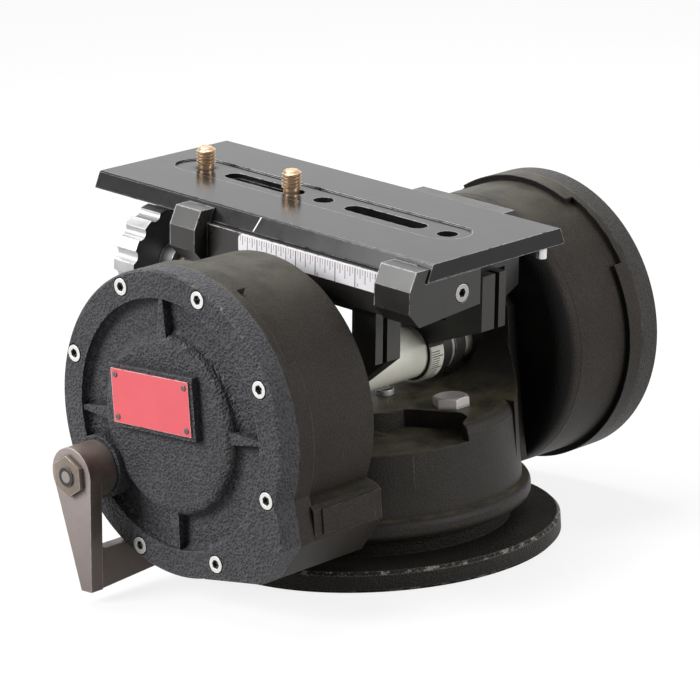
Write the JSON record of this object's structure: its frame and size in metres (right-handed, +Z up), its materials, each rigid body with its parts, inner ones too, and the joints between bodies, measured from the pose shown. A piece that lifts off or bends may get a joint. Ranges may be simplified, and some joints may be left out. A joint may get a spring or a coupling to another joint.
{
  "type": "fluid video head",
  "caption": "Fluid camera head: two round fluid drums on a panning yoke carry a tilting table with a sliding dovetail camera plate, a lock knob and a lock lever.",
  "frame": {"origin": "pan axis at the underside of the mounting flange", "axes": "+X along the tilt axis away from the drum with the lever, +Y along the camera plate, +Z up along the pan axis"},
  "size_m": [0.285, 0.2226, 0.1817],
  "materials": {
    "black_crinkle": "crinkle paint",
    "grey_cast": "painted casting",
    "dark_anodised": "anodised",
    "grey_anodised": "satin anodised",
    "bright_steel": "bright",
    "worn_steel": "worn bare",
    "drag_plates": "machined",
    "bright_aluminium": "machined",
    "brass": "machined",
    "red_plate": "enamelled",
    "white_rule": "satin",
    "black_rubber": "matt"
  },
  "bodies": {
    "base": {"base_flange": "black_crinkle", "flange_screws": "bright_steel", "pan_post": "bright_steel", "pan_drag_disc": "drag_plates", "pan_nut": "bright_steel"},
    "yoke": {"yoke_casting": "grey_cast", "pan_chamber_lid": "grey_cast", "pan_lower_bearing": "bright_steel", "pan_upper_bearing": "bright_steel", "pan_seal": "black_rubber", "deck_cap": "grey_cast", "deck_bolts": "bright_steel", "deck_plug": "bright_steel", "near_housing": "grey_cast", "far_housing": "grey_cast", "near_cover": "black_crinkle", "far_cover": "black_crinkle", "near_gasket": "black_rubber", "far_gasket": "black_rubber", "near_cover_screws": "bright_steel", "far_cover_screws": "bright_steel", "nameplate": "red_plate", "nameplate_rivets": "bright_steel", "near_tilt_bearing": "bright_steel", "far_tilt_bearing": "bright_steel", "near_shaft_seal": "black_rubber", "far_shaft_seal": "black_rubber", "near_stators": "drag_plates", "far_stators": "drag_plates"},
    "platform": {"tilt_shaft": "bright_steel", "shaft_sleeve": "bright_steel", "near_rotor": "drag_plates", "far_rotor": "drag_plates", "shaft_end_nuts": "bright_steel", "near_leg": "dark_anodised", "far_leg": "dark_anodised", "near_drive_arm": "dark_anodised", "far_drive_arm": "dark_anodised", "tilt_scale_ring": "bright_steel", "shaft_washers": "bright_steel", "shaft_lock_nuts": "bright_steel", "table": "dark_anodised", "far_jaw": "dark_anodised", "jaw_screws": "bright_steel", "slide_pads": "brass", "rule": "white_rule", "table_screws": "bright_steel"},
    "plate": {"camera_plate": "grey_anodised", "plate_stop_pins": "bright_steel"},
    "fixed_screw": {"fixed_camera_screw": "brass"},
    "slot_carrier": {"slot_washer": "bright_steel"},
    "slot_screw": {"slot_camera_screw": "brass"},
    "knob": {"lock_knob": "bright_aluminium", "lock_knob_screw": "bright_steel"},
    "lever": {"lock_lever": "worn_steel", "lever_stud": "bright_steel", "lever_nut": "bright_steel"}
  },
  "joints": [
    {"name": "pan", "type": "hinge", "parent": "base", "child": "yoke", "pos_m": [0, 0, 0], "axis": [0, 0, 1], "continuous": true},
    {"name": "tilt", "type": "hinge", "parent": "yoke", "child": "platform", "pos_m": [0, 0, 0.086], "axis": [1, 0, 0], "range_deg": [-46, 35]},
    {"name": "plate_slide", "type": "slide", "parent": "platform", "child": "plate", "axis": [0, 0.9954, 0.0958], "range_m": [-0.056, 0.03]},
    {"name": "fixed_screw_turn", "type": "hinge", "parent": "plate", "child": "fixed_screw", "pos_m": [0, 0.1043, 0.17139], "axis": [0, -0.0958, 0.9954], "continuous": true},
    {"name": "slot_screw_slide", "type": "slide", "parent": "plate", "child": "slot_carrier", "axis": [0, 0.9954, 0.0958], "range_m": [-0.0015, 0.0385]},
    {"name": "slot_screw_turn", "type": "hinge", "parent": "slot_carrier", "child": "slot_screw", "pos_m": [0, 0.04507, 0.16569], "axis": [0, -0.0958, 0.9954], "continuous": true},
    {"name": "knob_turn", "type": "hinge", "parent": "platform", "child": "knob", "pos_m": [-0.036, 0.09291, 0.13312], "axis": [0, 0.9954, 0.0958], "range_deg": [0, 270]},
    {"name": "lever_turn", "type": "hinge", "parent": "yoke", "child": "lever", "pos_m": [-0.14, 0.04505, 0.06047], "axis": [1, 0, 0], "range_deg": [0, 75]}
  ]
}
